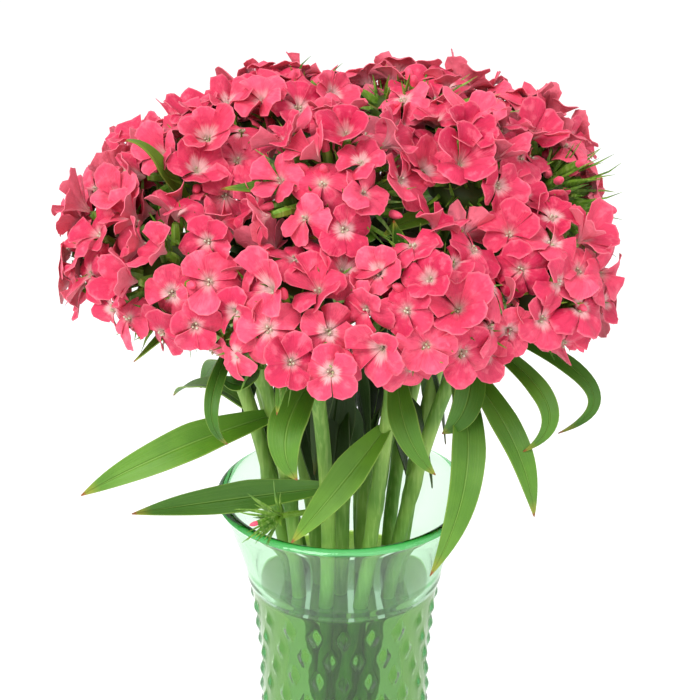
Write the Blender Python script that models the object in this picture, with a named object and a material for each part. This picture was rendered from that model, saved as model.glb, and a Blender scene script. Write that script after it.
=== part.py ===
"""A bunch of cut sweet william (Dianthus barbatus) standing in a pressed green glass vase.

Tables are in millimetres and degrees, and the shapes are built in metres. The origin is the centre of
the vase's flat base, +Z is up and -Y is the front. Each flower head is two pieces: a green stem with
its leaves and bracts, and the pink bloom that sits on it. The bunch only rests in the vase.
"""

from math import acos, atan2, cos, pi, radians, sin, tau
from random import Random

import bmesh
import bpy
from mathutils import Matrix, Vector
from mathutils.bvhtree import BVHTree

MM = 0.001
UP = Vector((0, 0, 1))
GAP = 0.3 * MM

# The vase: a flared smooth collar over a body of pressed diamonds, on a plain foot
RIM_HEIGHT = 225 * MM
RIM_RADIUS = 52 * MM
LIP_WIDTH = 5.2 * MM
LIP_BEAD = 2.6 * MM
WAIST_HEIGHT = 140 * MM
WAIST_RADIUS = 34.4 * MM
FLARE_POWER = 2.05
BASE_SWELL = 4 * MM
BASE_SWELL_DEPTH = 100 * MM
COLUMNS = 40
COLLAR_RING = 203 * MM
RELIEF_TOP = 187 * MM
RELIEF_ROWS = 15
RELIEF_ROW = 11.2 * MM
PEAK = 1.1 * MM
VALLEY = -0.5 * MM
FOOT_RADIUS = 39.2 * MM
FOOT_EDGE = 2.5 * MM
WALL = 3.8 * MM
INNER_RINGS = (200 * MM, 160 * MM, 90 * MM)
FLOOR_HEIGHT = 13 * MM
FLOOR_CORNER = 5 * MM

# The water, which stops short of the glass and of the stems by the gap
WATER_LEVEL = 184 * MM
WATER_RINGS = (90 * MM, 160 * MM)
WATER_COLUMNS = 20
HOLE_GAP = 0.4 * MM

# The stems: straight from foot to collar, where the vase holds them, then curved out to the heads
STEM_RADIUS = 2.7 * MM
STEM_SIDES = 5
STEM_FOOT = 15 * MM
HOLD_HEIGHT = 188 * MM
TWIST = radians(95)
OUTER_HOLD, OUTER_FOOT, OUTER_STEMS = 22.5 * MM, 20 * MM, 10
INNER_HOLD, INNER_FOOT, INNER_STEMS = 10.5 * MM, 9 * MM, 5
INNER_START = radians(46)
CURVE_STEPS = 6
HEAD_PULL = 0.7
NODE_STEPS = (1, 4)
NODE_SWELL = 1.35
SEAT_RADIUS = 7.5 * MM
SEAT_DEPTH = 9 * MM

# The florets, larger than life so that few of them still cover a head
FLORETS = 9
FLORET_RADIUS = 14.5 * MM
FLORET_SIZES = (1, 0.9, 0.8, 0.7, 0.6)
FLORET_LIFTS = (0, 1.5 * MM, -1.5 * MM, 3 * MM)
FLORET_SHIFTS = ((0, 0), (0.3, 0), (-0.3, 0), (0, 0.15), (0, -0.2), (0.6, -0.1), (-0.6, -0.1))
FLORET_LEAN = 0.12
PETALS = 5
PETAL_SPREAD = radians(27)
PETAL_REACH = (0.92, 1.04)
PETAL_CUP = (-0.06, 0.2)
PETAL_RUFFLE = 0.05
NOTCH_SHARE = 0.74
PETAL_THICKNESS = 0.8 * MM
THROAT_DEPTH = 1.4 * MM
CALYX_CORNERS = 3
CALYX_RADIUS = 2.2 * MM
CALYX_FOOT = 1.2 * MM
CALYX_REACH = 0.75

# The heads: low domes of florets round a smaller core, with needle bracts below
DOME_FLATNESS = 0.62
CORE_SHARE = 0.72
CORE_SIDES = 7
CORE_RINGS = 2
CORE_MIDDLE = 0.25
WIDEST_SITE = radians(97)
GOLDEN_ANGLE = pi * (3 - 5**0.5)
BRACTS = 6
BRACT_LENGTH = 21 * MM
BRACT_RADIUS = 1.1 * MM
BRACT_TIP = 0.3 * MM
BRACT_RISES = (-8, 8, -25, 25, 40)
BRACT_TURNS = (0, 8, -8, 16, -16, 24, -24)

LEAF_THICKNESS = 0.8 * MM
LEAF_STEPS = 5
LEAF_BASE = 0.3
LEAF_WIDEST = 0.4
KEEL = 0.36

# name: seat x, y, z, heading of the axis, its rise, dome radius, ring of stems, slot in the ring
HEADS = {
    "front_left": (-19, -60, 325, 255, 32, 28, "outer", 7),
    "front_right": (31, -60, 331, 292, 35, 28, "outer", 8),
    "right": (72, -33, 328, 325, 32, 29, "outer", 9),
    "left": (-61, -38, 332, 215, 28, 29, "outer", 6),
    "far_left": (-83, -3, 335, 178, 28, 29, "outer", 5),
    "far_right": (77, 14, 347, 10, 34, 28, "outer", 0),
    "upper_left": (-52, 2, 360, 195, 62, 28, "inner", 2),
    "centre": (-3, -28, 362, 265, 66, 29, "inner", 3),
    "upper_right": (46, -9, 360, 320, 62, 28, "inner", 4),
    "crown_left": (-23, 31, 371, 110, 72, 28, "inner", 1),
    "crown_right": (27, 30, 372, 40, 76, 28, "inner", 0),
    "back_right": (66, 55, 352, 40, 46, 27, "outer", 1),
    "back_low": (33, 82, 332, 68, 34, 26, "outer", 2),
    "back": (-21, 78, 343, 100, 40, 29, "outer", 3),
    "back_left": (-70, 47, 341, 140, 38, 29, "outer", 4),
}

# stem, height of its root, point half way along, tip, width, the way its face looks
FRONT_LEAVES = (
    ("left", 268, (-64, -46, 266), (-99, -52, 250), 15, (-0.1, -0.7, 0.7)),
    ("front_left", 240, (-46, -24, 233), (-83, -30, 230), 13, (0, -0.7, 0.7)),
    ("front_left", 292, (-21, -62, 281), (-17, -66, 264), 15, (-0.1, -1, 0.3)),
    ("left", 292, (-38, -42, 292), (-46, -45, 297), 9, (-0.2, -0.6, 0.8)),
    ("left", 306, (-48, -57, 292), (-43, -55, 273), 6, (0, -1, 0.2)),
    ("centre", 288, (-5, -17, 260), (-9, -20, 232), 18, (0, -1, 0.2)),
    ("front_right", 268, (-1, -43, 250), (-20, -51, 229), 14, (-0.4, -0.8, 0.5)),
    ("right", 286, (49, -54, 262), (33, -54, 216), 14, (0.2, -1, 0.2)),
    ("right", 290, (68, -48, 272), (72, -54, 240), 12, (0.4, -1, 0.3)),
    ("right", 302, (75, -50, 288), (67, -51, 268), 8, (0.3, -1, 0.2)),
    ("far_right", 300, (92, -26, 286), (82, -32, 266), 7, (0.4, -1, 0.2)),
    ("front_right", 296, (23, -58, 281), (34, -62, 264), 11, (0, -1, 0.3)),
    ("right", 298, (46, -43, 285), (37, -42, 271), 13, (0.2, -1, 0.4)),
)
FRONT_TURN, FRONT_REACH = 4, 16

# Back and side leaves, in pairs on a stem: height of the root, length, width, how far they droop
BACK_LEAVES = ("far_left", "back_left", "back", "back_low", "back_right", "far_right")
BACK_PAIR = ((284, 78), (262, 62))
BACK_WIDTH = 13
BACK_LEAN = 60 * MM
BACK_DROOP = (0.2, 0.45)
BACK_TURN, BACK_REACH = 10, 60

# A short side shoot over the rim: its stem, the height where it leaves, its tip and its bracts
SHOOT = ("front_left", 230, (-28, -43, 236))
SHOOT_RADIUS = 1.2 * MM
SHOOT_BRACTS = 5
SHOOT_BRACT_LENGTH = 14 * MM

GREEN = (0.13, 0.3, 0.04, 1)
PINK = (0.85, 0.09, 0.16, 1)
GLASS = (0.3, 0.75, 0.45, 1)
WATER = (0.75, 0.9, 0.8, 1)


def clear_scene():
    for obj in list(bpy.data.objects):
        bpy.data.objects.remove(obj)


def material(name, colour, roughness, transmission=0.0, ior=1.45):
    made = bpy.data.materials.new(name)
    made.use_nodes = True
    made.diffuse_color = colour
    shader = made.node_tree.nodes["Principled BSDF"]
    shader.inputs["Base Color"].default_value = colour
    shader.inputs["Roughness"].default_value = roughness
    shader.inputs["Metallic"].default_value = 0.0
    shader.inputs["Transmission Weight"].default_value = transmission
    shader.inputs["IOR"].default_value = ior
    return made


def linked(name, data, crease=40):
    """A new object in the scene, shaded smooth except at edges sharper than the crease."""
    if data:
        data.shade_smooth()
        data.set_sharp_from_angle(angle=radians(crease))
    obj = bpy.data.objects.new(name, data)
    bpy.context.scene.collection.objects.link(obj)
    return obj


def object_of(mesh, name, finish, crease=40):
    """An object that holds a finished bmesh, its faces turned outwards."""
    bmesh.ops.recalc_face_normals(mesh, faces=mesh.faces)
    data = bpy.data.meshes.new(name)
    mesh.to_mesh(data)
    mesh.free()
    data.materials.append(finish)
    return linked(name, data, crease)


def combined(name, body, others, operation, solver):
    """One object from a body and a collection of others, by a Boolean that is applied."""
    helpers = bpy.data.collections.new(f"{name}_helpers")
    bpy.context.scene.collection.children.link(helpers)
    for other in others:
        bpy.context.scene.collection.objects.unlink(other)
        helpers.objects.link(other)
    boolean = body.modifiers.new(name, "BOOLEAN")
    boolean.operation = operation
    boolean.operand_type = "COLLECTION"
    boolean.collection = helpers
    boolean.solver = solver
    graph = bpy.context.evaluated_depsgraph_get()
    data = bpy.data.meshes.new_from_object(body.evaluated_get(graph))
    for obj in (body, *others):
        bpy.data.objects.remove(obj)
    bpy.data.collections.remove(helpers)
    data.name = name
    return linked(name, data)


def fused(name, meshes, finish):
    """Pieces that run into each other, as one body. EXACT leaves loose edges where calyces meet."""
    first, *others = [object_of(mesh, f"{name}_piece", finish) for mesh in meshes]
    return combined(name, first, others, "UNION", "MANIFOLD")


def hang_on(obj, place, parent):
    """Puts the object's origin at a place of its own, keeping its shape where it is."""
    obj.data.transform(place.inverted())
    obj.parent = parent
    obj.matrix_world = place


def facing(point, direction):
    """A frame at a point whose Z axis runs along a direction."""
    return Matrix.Translation(point) @ direction.to_track_quat("Z", "Y").to_matrix().to_4x4()


def around(turn, radius=1.0):
    return Vector((radius * cos(turn), radius * sin(turn), 0))


def spun(profile, steps):
    """A closed body turned round the Z axis from a profile that starts and ends on it."""
    mesh = bmesh.new()
    points = [mesh.verts.new((radius, 0, height)) for radius, height in profile]
    edges = [mesh.edges.new(pair) for pair in zip(points, points[1:])]
    bmesh.ops.spin(
        mesh, geom=points + edges, axis=UP, cent=(0, 0, 0), steps=steps, angle=tau, use_merge=True
    )
    bmesh.ops.remove_doubles(mesh, verts=mesh.verts, dist=1e-6)
    bmesh.ops.recalc_face_normals(mesh, faces=mesh.faces)
    return mesh


def tube(points, radii, sides):
    """A closed tube through the points: a ring of corners at each, bridged to the next."""
    mesh = bmesh.new()
    last = len(points) - 1
    frame = (points[1] - points[0]).to_track_quat("Z", "Y")
    previous = []
    for index, (point, radius) in enumerate(zip(points, radii)):
        direction = points[min(index + 1, last)] - points[max(index - 1, 0)]
        frame = (frame @ UP).rotation_difference(direction) @ frame
        place = Matrix.Translation(point) @ frame.to_matrix().to_4x4()
        ring = bmesh.ops.create_circle(
            mesh, cap_ends=index in (0, last), segments=sides, radius=radius, matrix=place
        )["verts"]
        edges = [edge for edge in mesh.edges if set(edge.verts) <= set(ring)]
        if previous:
            bmesh.ops.bridge_loops(mesh, edges=previous + edges)
        previous = edges
    bmesh.ops.recalc_face_normals(mesh, faces=mesh.faces)
    return mesh


class Placed:
    """The pieces placed so far, which a new piece has to clear unless it grows from them."""

    def __init__(self):
        self.trees = []

    def add(self, mesh, owner):
        self.trees.append((owner, BVHTree.FromBMesh(mesh)))

    def touches(self, mesh, grows_from):
        tree = BVHTree.FromBMesh(mesh)
        return any(tree.overlap(other) for owner, other in self.trees if owner != grows_from)

    def first_clear(self, tries, owner, grows_from):
        """The first of the tried pieces that touches nothing, in a list that is empty if all do."""
        for mesh in tries:
            if not self.touches(mesh, grows_from):
                self.add(mesh, owner)
                return [mesh]
            mesh.free()
        return []


def vase_radius(height):
    """The outside of the vase, without its relief."""
    if height > WAIST_HEIGHT:
        share = (height - WAIST_HEIGHT) / (RIM_HEIGHT - WAIST_HEIGHT)
        return WAIST_RADIUS + (RIM_RADIUS - WAIST_RADIUS) * share**FLARE_POWER
    share = min(1, (WAIST_HEIGHT - height) / BASE_SWELL_DEPTH)
    return WAIST_RADIUS + BASE_SWELL * (1 - cos(pi * share)) / 2


def inner_radius(height):
    return vase_radius(height) - WALL


def relief_heights():
    """The heights of the rings that bound and carry the diamonds, from the foot up."""
    return [RELIEF_TOP - row * RELIEF_ROW for row in range(RELIEF_ROWS, -1, -1)]


def vase_profile():
    """Up the outside from the base's centre, over the lip, and down the inside to the floor's."""
    relief = [(vase_radius(height), height) for height in relief_heights()]
    foot = [
        (0, 0),
        (FOOT_RADIUS - FOOT_EDGE, 0),
        (FOOT_RADIUS, FOOT_EDGE),
        (FOOT_RADIUS, relief[0][1] - FOOT_EDGE),
    ]
    collar = [(vase_radius(height), height) for height in (COLLAR_RING, RIM_HEIGHT - 2 * LIP_BEAD)]
    middle = RIM_RADIUS - LIP_WIDTH / 2
    lip = [
        (middle + LIP_WIDTH / 2 * cos(turn), RIM_HEIGHT - LIP_BEAD + LIP_BEAD * sin(turn))
        for turn in (0, pi / 2, pi)
    ]
    inside = [(inner_radius(height), height) for height in (*INNER_RINGS, FLOOR_HEIGHT + FLOOR_CORNER)]
    floor = [(inner_radius(FLOOR_HEIGHT) - FLOOR_CORNER, FLOOR_HEIGHT), (0, FLOOR_HEIGHT)]
    return foot + relief + collar + lip + inside + floor


def raise_diamonds(mesh):
    """Lifts every second crossing of the grid, so that each becomes a pyramid on a diamond base."""
    peaks = set()
    for row, height in enumerate(relief_heights()[1:-1]):
        for vert in mesh.verts:
            radius = vert.co.xy.length
            if abs(vert.co.z - height) > GAP or radius < vase_radius(height) - WALL / 2:
                continue
            column = round(atan2(vert.co.y, vert.co.x) / tau * COLUMNS)
            raised = (row + column) % 2 == 0
            vert.co.xy *= 1 + (PEAK if raised else VALLEY) / radius
            if raised:
                peaks.add(vert)
    for face in [face for face in mesh.faces if peaks & set(face.verts)]:
        corners = list(face.verts)
        peak = next(index for index, vert in enumerate(corners) if vert in peaks)
        bmesh.utils.face_split(face, corners[peak - 1], corners[(peak + 1) % 4])


def vase(finish, placed):
    mesh = spun(vase_profile(), COLUMNS)
    raise_diamonds(mesh)
    placed.add(mesh, "vase")
    return object_of(mesh, "vase", finish, crease=10)


def hermite(start, start_way, end, end_way, steps):
    """Points after start on a smooth curve to end."""
    points = []
    for step in range(1, steps + 1):
        t = step / steps
        points.append(
            start * (2 * t**3 - 3 * t**2 + 1)
            + start_way * (t**3 - 2 * t**2 + t)
            + end * (3 * t**2 - 2 * t**3)
            + end_way * (t**3 - t**2)
        )
    return points


class Head:
    """Where one flower head sits, which way it faces and how its stem gets there."""

    def __init__(self, row):
        x, y, z, heading, rise, radius, ring, slot = row
        self.seat = Vector((x, y, z)) * MM
        self.axis = around(radians(heading), cos(radians(rise))) + UP * sin(radians(rise))
        self.radius = radius * MM
        self.height = self.radius * DOME_FLATNESS
        self.frame = facing(self.seat, self.axis)
        if ring == "outer":
            angle = slot * tau / OUTER_STEMS
            hold, foot = OUTER_HOLD, OUTER_FOOT
        else:
            angle = INNER_START + slot * tau / INNER_STEMS
            hold, foot = INNER_HOLD, INNER_FOOT
        self.hold = around(angle, hold) + UP * HOLD_HEIGHT
        self.foot = around(angle - TWIST, foot) + UP * STEM_FOOT

    def path(self):
        """The stem's centre line, from the cut end to the widened seat of the head."""
        base = self.seat - self.axis * (SEAT_DEPTH + GAP)
        reach = (base - self.hold).length
        rise = (self.hold - self.foot).normalized()
        curve = hermite(self.hold, rise * reach, base, self.axis * reach * HEAD_PULL, CURVE_STEPS)
        return [self.foot, self.hold, *curve, self.seat - self.axis * GAP]

    def at_height(self, height):
        """The point of the stem's centre line at a height."""
        points = self.path()
        for low, high in zip(points, points[1:]):
            if low.z <= height <= high.z:
                return low.lerp(high, (height - low.z) / (high.z - low.z))
        return points[-2]

    def stem(self):
        """A jointed stem that widens under the head."""
        shares = [NODE_SWELL if step in NODE_STEPS else 1 for step in range(CURVE_STEPS)]
        radii = [STEM_RADIUS * share for share in (1, 1, *shares)] + [SEAT_RADIUS]
        return tube(self.path(), radii, STEM_SIDES)

    def core(self):
        """The low dome that the florets stand out of."""
        radius, height = self.radius * CORE_SHARE, self.height * CORE_SHARE
        turns = [ring / CORE_RINGS * pi / 2 for ring in range(CORE_RINGS)]
        side = [(radius * cos(turn), height * sin(turn)) for turn in turns]
        mesh = spun([(0, 0), *side, (0, height)], CORE_SIDES)
        mesh.transform(self.frame)
        return mesh


def water(heads, finish):
    """The water round the stems, which stand in plain holes in it."""
    rings = (FLOOR_HEIGHT + FLOOR_CORNER, *WATER_RINGS, WATER_LEVEL)
    sides = [(inner_radius(height) - GAP, height) for height in rings]
    floor = (inner_radius(FLOOR_HEIGHT) - FLOOR_CORNER - GAP, FLOOR_HEIGHT + GAP)
    profile = [(0, FLOOR_HEIGHT + GAP), floor, *sides, (0, WATER_LEVEL)]
    body = object_of(spun(profile, WATER_COLUMNS), "water_body", finish)
    holes = []
    for head in heads:
        ends = (head.foot - UP * 2 * GAP, head.hold)
        hole = tube(ends, (STEM_RADIUS + HOLE_GAP,) * 2, STEM_SIDES)
        holes.append(object_of(hole, "stem_hole", finish))
    return combined("water", body, holes, "DIFFERENCE", "EXACT")


def petal_rim(radius, draw):
    """The floret's outline: two shoulders for each petal, and the notch after it."""
    rim = []
    for petal in range(PETALS):
        middle = petal * tau / PETALS
        reach = radius * draw.uniform(*PETAL_REACH)
        cup = radius * draw.uniform(*PETAL_CUP)
        for side in (-PETAL_SPREAD, PETAL_SPREAD):
            ruffle = radius * draw.uniform(-PETAL_RUFFLE, PETAL_RUFFLE)
            rim.append(around(middle + side, reach) + UP * (cup + ruffle))
        rim.append(around(middle + pi / PETALS, radius * NOTCH_SHARE))
    return rim


def floret(place, radius, calyx_end, draw):
    """A flower of five notched petals on its calyx, which narrows to three corners in the core."""
    mesh = bmesh.new()
    rim = petal_rim(radius, draw)
    corners = [around(corner * tau / CALYX_CORNERS + 1) for corner in range(CALYX_CORNERS)]
    under = UP * (THROAT_DEPTH + 1.5 * PETAL_THICKNESS)
    turn = place.to_3x3()
    throat = mesh.verts.new(place @ (UP * -THROAT_DEPTH))
    upper = [mesh.verts.new(place @ point) for point in rim]
    lower = [mesh.verts.new(place @ (point - UP * PETAL_THICKNESS)) for point in rim]
    neck = [mesh.verts.new(place @ (corner * CALYX_RADIUS - under)) for corner in corners]
    foot = [mesh.verts.new(calyx_end + turn @ (corner * CALYX_FOOT)) for corner in corners]
    share = len(rim) // CALYX_CORNERS
    for i in range(len(rim)):
        after = (i + 1) % len(rim)
        mesh.faces.new((throat, upper[i], upper[after]))
        mesh.faces.new((upper[i], lower[i], lower[after], upper[after]))
        mesh.faces.new((lower[after], lower[i], neck[i // share]))
    for k in range(CALYX_CORNERS):
        mesh.faces.new((lower[k * share], neck[k - 1], neck[k]))
        mesh.faces.new((neck[k - 1], foot[k - 1], foot[k], neck[k]))
    mesh.faces.new(foot)
    bmesh.ops.triangulate(mesh, faces=mesh.faces)
    bmesh.ops.recalc_face_normals(mesh, faces=mesh.faces)
    return mesh


def floret_tries(head, site, draw):
    """One floret at its place on the dome, then lifted, shifted and made smaller until it is clear."""
    polar = acos(1 - (site + 0.5) / FLORETS * (1 - cos(WIDEST_SITE)))
    turn = site * GOLDEN_ANGLE + head.seat.x / (10 * MM)
    lean = around(draw.uniform(0, tau), FLORET_LEAN)
    spin = Matrix.Rotation(draw.uniform(0, tau), 4, "Z")
    seed = draw.random()
    middle = head.frame @ (UP * head.height * CORE_MIDDLE)
    for size in FLORET_SIZES:
        for shift_turn, shift_polar in FLORET_SHIFTS:
            for lift in FLORET_LIFTS:
                flat = around(turn + shift_turn, sin(polar + shift_polar))
                up = UP * cos(polar + shift_polar)
                normal = (flat / head.radius + up / head.height).normalized()
                centre = head.frame @ (flat * head.radius + up * head.height + normal * lift)
                face = facing(centre, head.frame.to_3x3() @ (normal + lean)) @ spin
                end = centre.lerp(middle, CALYX_REACH)
                yield floret(face, FLORET_RADIUS * size, end, Random(seed))


def blade(points, width, face):
    """A lance-shaped leaf on its centre line, folded along the midrib, of even thickness."""
    mesh = bmesh.new()
    last = len(points) - 1
    bmesh.ops.create_grid(mesh, x_segments=2, y_segments=last, size=1)
    for vert in mesh.verts:
        step = round((vert.co.y + 1) / 2 * last)
        share = step / last
        side = round(vert.co.x)
        way = (points[min(step + 1, last)] - points[max(step - 1, 0)]).normalized()
        across = way.cross(face).normalized()
        widening = LEAF_BASE + (1 - LEAF_BASE) * min(1, share / LEAF_WIDEST) ** 0.7
        half = width / 2 * widening * (1 - share**3)
        vert.co = points[step] + across * side * half + across.cross(way) * abs(side) * half * KEEL
    bmesh.ops.remove_doubles(mesh, verts=mesh.verts, dist=0.05 * MM)
    bmesh.ops.triangulate(mesh, faces=mesh.faces)
    bmesh.ops.recalc_face_normals(mesh, faces=mesh.faces)
    bmesh.ops.solidify(mesh, geom=list(mesh.faces), thickness=LEAF_THICKNESS)
    bmesh.ops.recalc_face_normals(mesh, faces=mesh.faces)
    return mesh


def arch(root, middle, tip):
    """Points on the parabola through three points."""
    control = middle * 2 - (root + tip) / 2
    shares = [step / LEAF_STEPS for step in range(LEAF_STEPS + 1)]
    return [root * (1 - t) ** 2 + control * 2 * t * (1 - t) + tip * t * t for t in shares]


def leaf_tries(root, middle, tip, width, face, step, reach):
    """The leaf as placed, then swung and lifted about its root, a step at a time, until it is clear."""
    span = range(-reach, reach + 1, step)
    turns = [(swing, lift) for swing in span for lift in span]
    side = (tip - root).cross(UP)
    for swing, lift in sorted(turns, key=lambda turn: abs(turn[0]) + abs(turn[1])):
        turned = Matrix.Rotation(radians(swing), 3, "Z") @ Matrix.Rotation(radians(lift), 3, side)
        points = [root + turned @ (point - root) for point in arch(root, middle, tip)]
        yield blade(points, width, turned @ face)


def front_leaves(heads, placed, pieces):
    for owner, height, middle, tip, width, face in FRONT_LEAVES:
        node = f"stem_{owner}"
        root = heads[owner].at_height(height * MM)
        ends = (Vector(middle) * MM, Vector(tip) * MM)
        look = Vector(face).normalized()
        tries = leaf_tries(root, *ends, width * MM, look, FRONT_TURN, FRONT_REACH)
        pieces[node] += placed.first_clear(tries, node, node)


def back_leaves(heads, placed, pieces, draw):
    """Leaves on the stems at the sides and back, spread outwards and drooping."""
    for owner in BACK_LEAVES:
        node = f"stem_{owner}"
        for height, length in BACK_PAIR:
            root = heads[owner].at_height(height * MM)
            heading = atan2(max(root.y, BACK_LEAN), root.x) + draw.uniform(-0.6, 0.6)
            out = around(heading, length * MM)
            tip = root + out * 0.9 - UP * length * MM * draw.uniform(*BACK_DROOP)
            look = (UP + out.normalized() * 0.4).normalized()
            tries = leaf_tries(root, root + out / 2, tip, BACK_WIDTH * MM, look, BACK_TURN, BACK_REACH)
            pieces[node] += placed.first_clear(tries, node, node)


def bract(root, way, length):
    """A needle of three sides from its root."""
    mesh = bmesh.new()
    bmesh.ops.create_cone(
        mesh,
        cap_ends=True,
        segments=3,
        radius1=BRACT_RADIUS,
        radius2=BRACT_TIP,
        depth=length,
        matrix=facing(root + way * length / 2, way),
    )
    return mesh


def bract_tries(head, index, draw):
    """A bract from under the head, raised and turned until it passes between the florets."""
    root = head.seat - head.axis * SEAT_DEPTH / 2
    start = index * tau / BRACTS + draw.uniform(-0.2, 0.2)
    for rise in BRACT_RISES:
        for turn in BRACT_TURNS:
            flat = around(start + radians(turn), cos(radians(rise))) + UP * sin(radians(rise))
            way = head.frame.to_3x3() @ flat
            yield bract(root + way * SEAT_RADIUS * 0.4, way, BRACT_LENGTH)


def side_shoot(heads, placed, pieces):
    """The small shoot with a tuft of bracts that leans over the rim."""
    owner, height, tip = SHOOT
    node = f"stem_{owner}"
    root = heads[owner].at_height(height * MM)
    end = Vector(tip) * MM
    stalk = tube((root, end), (SHOOT_RADIUS, SHOOT_RADIUS), STEM_SIDES)
    pieces[node] += placed.first_clear([stalk], node, node)
    frame = facing(end, end - root).to_3x3()
    for index in range(SHOOT_BRACTS):
        way = (frame @ (around(index * tau / SHOOT_BRACTS) + UP)).normalized()
        needle = bract(end - way * SHOOT_RADIUS, way, SHOOT_BRACT_LENGTH)
        pieces[node] += placed.first_clear([needle], node, node)


def build():
    clear_scene()
    green = material("leaf green", GREEN, 0.5)
    pink = material("petal pink", PINK, 0.6)
    glass = material("green glass", GLASS, 0.05, transmission=1.0, ior=1.5)
    clear = material("water", WATER, 0.0, transmission=1.0, ior=1.33)
    draw = Random(15)
    placed = Placed()
    heads = {name: Head(row) for name, row in HEADS.items()}
    pieces = {}

    vase(glass, placed)
    water(heads.values(), clear)
    for name, head in heads.items():
        pieces[f"stem_{name}"] = placed.first_clear([head.stem()], f"stem_{name}", None)
        pieces[f"bloom_{name}"] = placed.first_clear([head.core()], f"core_{name}", None)
    for name, head in heads.items():
        for site in range(FLORETS):
            tries = floret_tries(head, site, draw)
            pieces[f"bloom_{name}"] += placed.first_clear(tries, f"bloom_{name}", f"core_{name}")
    front_leaves(heads, placed, pieces)
    side_shoot(heads, placed, pieces)
    back_leaves(heads, placed, pieces, draw)
    for name, head in heads.items():
        for index in range(BRACTS):
            tries = bract_tries(head, index, draw)
            pieces[f"stem_{name}"] += placed.first_clear(tries, f"stem_{name}", f"stem_{name}")

    bunch = linked("bunch", None)
    for node, meshes in pieces.items():
        kind, name = node.split("_", 1)
        if kind == "bloom":
            hang_on(fused(node, meshes, pink), heads[name].frame, bunch)
        else:
            hang_on(fused(node, meshes, green), Matrix.Translation(heads[name].foot), bunch)


build()
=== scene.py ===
# %% [markdown]
# # A bunch of sweet william in a pressed glass vase
#
# Sweet william carries its flowers in flat-topped heads. Each floret has five broad petals with a
# toothed edge round a pale throat, and it sits on a long green calyx among needle-like bracts. The
# stems are jointed, with a pair of narrow leaves at a joint. This bunch stands in a green glass vase
# with a smooth collar over rows of pressed diamonds.
#
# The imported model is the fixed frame: it says where each head, stem and the vase are. Petals, stems,
# glass and water take the place of its nodes here, and the other pieces add what is too fine for it.

# %% The frame and the modules
from itertools import chain
from math import acos, atan2, cos, exp, pi, radians, sin, tau
from random import Random

import bmesh
import bpy
from mathutils import Matrix, Vector
from mathutils.kdtree import KDTree


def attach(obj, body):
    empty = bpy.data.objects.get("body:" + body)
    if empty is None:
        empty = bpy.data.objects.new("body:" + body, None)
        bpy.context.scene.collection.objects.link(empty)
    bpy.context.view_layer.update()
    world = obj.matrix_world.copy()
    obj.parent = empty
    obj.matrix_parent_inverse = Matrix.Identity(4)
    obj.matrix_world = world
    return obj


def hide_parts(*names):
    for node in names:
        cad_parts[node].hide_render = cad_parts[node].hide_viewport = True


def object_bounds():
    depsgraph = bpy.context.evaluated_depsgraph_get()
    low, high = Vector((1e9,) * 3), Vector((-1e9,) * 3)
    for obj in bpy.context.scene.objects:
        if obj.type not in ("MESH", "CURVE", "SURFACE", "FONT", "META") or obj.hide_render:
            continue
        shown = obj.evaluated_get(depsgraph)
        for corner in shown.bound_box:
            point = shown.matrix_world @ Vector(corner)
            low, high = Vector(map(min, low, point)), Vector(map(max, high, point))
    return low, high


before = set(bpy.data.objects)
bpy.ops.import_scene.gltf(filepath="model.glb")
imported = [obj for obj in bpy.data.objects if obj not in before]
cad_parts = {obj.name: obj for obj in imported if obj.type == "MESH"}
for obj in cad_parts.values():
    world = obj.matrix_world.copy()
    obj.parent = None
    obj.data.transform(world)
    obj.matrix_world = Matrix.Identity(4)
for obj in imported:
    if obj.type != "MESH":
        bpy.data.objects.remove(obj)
cad_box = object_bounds()
MM = 0.001
UP = Vector((0, 0, 1))
print("frame with", len(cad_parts), "nodes in", [round(side / MM) for side in cad_box[1] - cad_box[0]])

# %% [markdown]
# ## Camera, light and floor
#
# The photograph looks down on the bunch from a little above, with a long lens, so the rim is a flat
# ellipse. A studio table is one broad pale plane. Soft light needs large lamps: a big area lamp over
# the left shoulder models the petals, a weak one at the right softens its shadows, and a bright pale
# world keeps the glass clear, because glass shows what is all round it.

# %% Camera, light and floor
CAMERA_PLACE = (2.4, -696.8, 601.3)
CAMERA_TILT = 65.7
LENS = 100
SENSOR = 36
# Name, place in mm, side in metres, power in watts
LAMPS = (
    ("key lamp", (-700, -900, 1500), 1.0, 26),
    ("fill lamp", (900, -500, 900), 1.4, 4),
)
LAMPS_LOOK_AT = (0, 0, 300)
WORLD_LIGHT = 0.8


def camera():
    made = bpy.data.objects.new("camera", bpy.data.cameras.new("camera"))
    made.location = Vector(CAMERA_PLACE) * MM
    made.rotation_euler = (radians(CAMERA_TILT), 0, 0)
    made.data.lens = LENS
    made.data.sensor_width = SENSOR
    bpy.context.scene.collection.objects.link(made)
    bpy.context.scene.camera = made


def lamp(name, place, size, power):
    """A square area lamp that looks at the middle of the flowers."""
    made = bpy.data.objects.new(name, bpy.data.lights.new(name, "AREA"))
    made.location = Vector(place) * MM
    look = Vector(LAMPS_LOOK_AT) * MM - made.location
    made.rotation_euler = look.to_track_quat("-Z", "Y").to_euler()
    made.data.size = size
    made.data.energy = power
    bpy.context.scene.collection.objects.link(made)


camera()
for row in LAMPS:
    lamp(*row)
world = bpy.data.worlds.new("studio")
world.use_nodes = True
world.node_tree.nodes["Background"].inputs["Color"].default_value = (1, 1, 1, 1)
world.node_tree.nodes["Background"].inputs["Strength"].default_value = WORLD_LIGHT
bpy.context.scene.world = world
bpy.context.scene.view_settings.view_transform = "Standard"
print("camera and", len(LAMPS), "lamps")

# %% [markdown]
# ## Writing a material as sums
#
# A procedural material is a graph of nodes, and most of its nodes are plain arithmetic. A small class
# wraps a socket, so that `1 - mask` or `mask * 0.3` adds the Math node. Every other node comes from
# one method, which sets the node's own settings first and then its sockets.

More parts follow.
